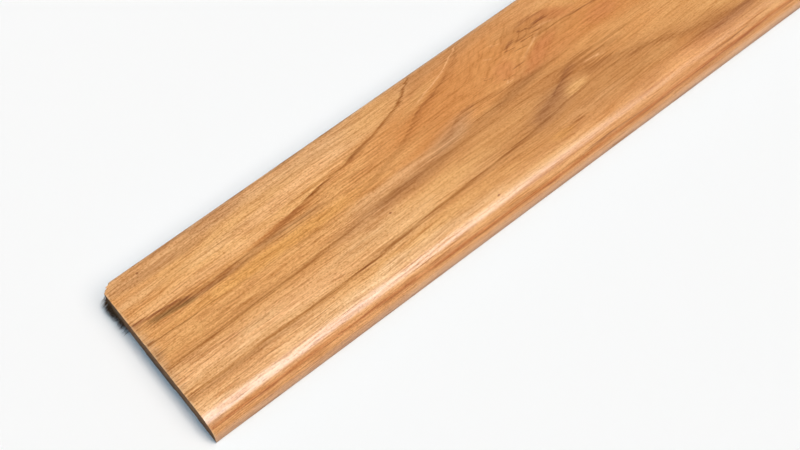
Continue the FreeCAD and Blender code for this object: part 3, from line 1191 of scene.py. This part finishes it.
# raw wood inside the knocked corner, dusty and grimy
tornWood = {
    "wood": {"Fibre Strength": 1.0, "Pore Strength": 0.5},
    "shader": {"Roughness": 0.9},
    "strand": (6, 0.3, 0.3),
    "dustAmount": 0.45,
    "grimeRange": (0.42, 0.62),
    "grimeAmount": 0.85,
    "depth": 0.3 * mm,
}


def tornCorner(where, wood):
    strand = noiseAt(where["Grain"], tornWood["strand"], seed=23, detail=3)
    colour = lay(wood["Colour"], "dust", tornWood["dustAmount"])
    grime = multiply(easedStep(strand, *tornWood["grimeRange"]), tornWood["grimeAmount"])
    return {"Base Color": lay(colour, "endGrey", grime), "Normal": bumped(strand, tornWood["depth"])}


def makeFinish(name, shaderInputs, looks):
    material, tree, shader = newMaterial(name)
    where = placeGroup(tree, boardPlace)
    wood = placeGroup(tree, woodFigure, looks["wood"])
    plugAll(tree, shader, {**looks["shader"], **shaderInputs(where, wood)})
    tidyNodes(tree)
    return material


makers = {
    "lacqueredFace": (lacqueredFace, lacquer),
    "sawnEndGrain": (sawnEndGrain, endGrain),
    "planedBack": (planedBack, backWood),
    "tornCorner": (tornCorner, tornWood),
}
finishes = [makeFinish(name, *makers[name]) for name in finishOrder]
print("finishes made:", ", ".join(finishOrder))


def makeBoard():
    made = meshObject("board", boardShell())
    cutter = meshObject("knock", knockCutter())
    for finish in finishes:
        made.data.materials.append(finish)
        cutter.data.materials.append(finish)
    for polygon in cutter.data.polygons:
        polygon.material_index = finishOrder.index("tornCorner")
    cut = made.modifiers.new("knockedCorner", "BOOLEAN")
    cut.operation, cut.solver, cut.object = "DIFFERENCE", "EXACT", cutter
    bpy.context.view_layer.update()
    graph = bpy.context.evaluated_depsgraph_get()
    whole = made.data
    made.data = bpy.data.meshes.new_from_object(made.evaluated_get(graph))
    made.modifiers.clear()
    bpy.data.meshes.remove(whole)
    bpy.data.objects.remove(cutter)

    mesh = made.data
    mesh.name = "board"
    for polygon in mesh.polygons:
        polygon.material_index = finishOrder.index(skinFinish(polygon))
    layOutMaps(mesh)
    mesh.shade_smooth()
    mesh.set_sharp_from_angle(angle=board["sharpAngle"])
    return made


boardPiece = makeBoard()
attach(boardPiece, "root")
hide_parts("skirting_board")
print("board made,", len(boardPiece.data.polygons), "faces")

fibrePiece = meshObject("tornFibres", tornFibreShell())
# the fibres take the ends' finish, and with it the painted shade near the floor
fibrePiece.data.materials.append(finishes[finishOrder.index("sawnEndGrain")])
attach(fibrePiece, "root")
print("torn fibres made,", len(fibrePiece.data.polygons), "faces")


# a plain pale floor, wide enough to reach the horizon in every view
floor = {
    "halfSize": 30.0,
    "under": 0.05 * mm,
    "shader": {"Base Color": (0.974, 0.958, 0.956, 1), "Roughness": 1.0, "Specular IOR Level": 0.0},
}


def makeFloor():
    sheet = bmesh.new()
    corners = [(-1, -1), (1, -1), (1, 1), (-1, 1)]
    sheet.faces.new([sheet.verts.new((x * floor["halfSize"], y * floor["halfSize"], -floor["under"]))
                     for x, y in corners])
    made = meshObject("floor", sheet)
    material, tree, shader = newMaterial("paleFloor")
    plugAll(tree, shader, floor["shader"])
    made.data.materials.append(material)
    return made


floorPiece = makeFloor()


# two soft warm lamps and a cool fill light everything, and the lacquer mirrors a pale card.
# The lamps and the room together make level 1, which shows a colour as it is written
warm = (1.0, 0.925, 0.838)
studio = {
    "lamps": [
        {"name": "overheadLamp", "from": (0.17, -0.08, 0.98), "spread": 18, "level": 0.497, "colour": warm},
        {"name": "frontLamp", "from": (0.24, -0.46, 0.85), "spread": 36, "level": 0.358, "colour": warm},
        {"name": "coolFill", "from": (-0.80, 0.05, 0.60), "spread": 60, "level": 0.38,
         "colour": (0.40, 0.72, 1.0)},
        {"name": "glossCard", "from": (-0.09, -0.50, 0.861), "spread": 52, "level": 1.38,
         "colour": (0.74, 0.88, 1.0)},
    ],
    "card": "glossCard",    # it is only mirrored, and the others only light
    "roomLevel": 0.10,
    "roomColour": (0.90, 0.95, 1.0, 1),
    "backdropColour": (0.965, 0.97, 0.975, 1),
}


def makeLamp(lamp):
    light = bpy.data.lights.new(lamp["name"], "SUN")
    light.energy = math.pi * lamp["level"]
    light.angle = math.radians(lamp["spread"])
    light.color = lamp["colour"]
    made = bpy.data.objects.new(lamp["name"], light)
    made.rotation_euler = Vector(lamp["from"]).to_track_quat("Z", "Y").to_euler()
    isCard = lamp["name"] == studio["card"]
    made.visible_glossy, made.visible_diffuse = isCard, not isCard
    if isCard:
        light.cycles.max_bounces = 0
    bpy.context.scene.collection.objects.link(made)


def makeRoom():
    world = bpy.data.worlds.new("paleRoom")
    world.use_nodes = True
    tree = world.node_tree
    tree.nodes.clear()
    rays = addNode(tree, "LightPath").outputs
    seen = maths("MAXIMUM", rays["Is Camera Ray"],
                 maths("MAXIMUM", rays["Is Glossy Ray"], rays["Is Transmission Ray"]))
    room = addNode(tree, "Background", {"Color": studio["roomColour"], "Strength": studio["roomLevel"]})
    backdrop = addNode(tree, "Background", {"Color": studio["backdropColour"], "Strength": 1.0})
    mixed = addNode(tree, "MixShader", {0: seen, 1: room.outputs[0], 2: backdrop.outputs[0]})
    addNode(tree, "OutputWorld", {"Surface": mixed.outputs[0]})
    tidyNodes(tree)
    bpy.context.scene.world = world


for lamp in studio["lamps"]:
    makeLamp(lamp)
makeRoom()
bpy.context.scene.view_settings.view_transform = "Standard"
print("floor, lamps and room made")


# the camera looks down over the knocked end
camera = {
    "fromCorner": Vector((-62.8, -189.5, 569.4)) * mm,   # from the board's lowest corner
    "elevation": 63.84,
    "azimuth": 39.01,
    "lens": 69.71,
    "clip": (0.01, 200.0),
    "halfPixel": 0.5 / 800,   # how far the picture is moved right and down, as a share of its width
}


def makeCamera():
    view = bpy.data.cameras.new("camera")
    view.lens = camera["lens"]
    view.clip_start, view.clip_end = camera["clip"]
    view.shift_x, view.shift_y = -camera["halfPixel"], camera["halfPixel"]
    made = bpy.data.objects.new("camera", view)
    made.location = boardLow + camera["fromCorner"]
    made.rotation_euler = (math.radians(90 - camera["elevation"]), 0, -math.radians(camera["azimuth"]))
    bpy.context.scene.collection.objects.link(made)
    bpy.context.scene.camera = made


makeCamera()
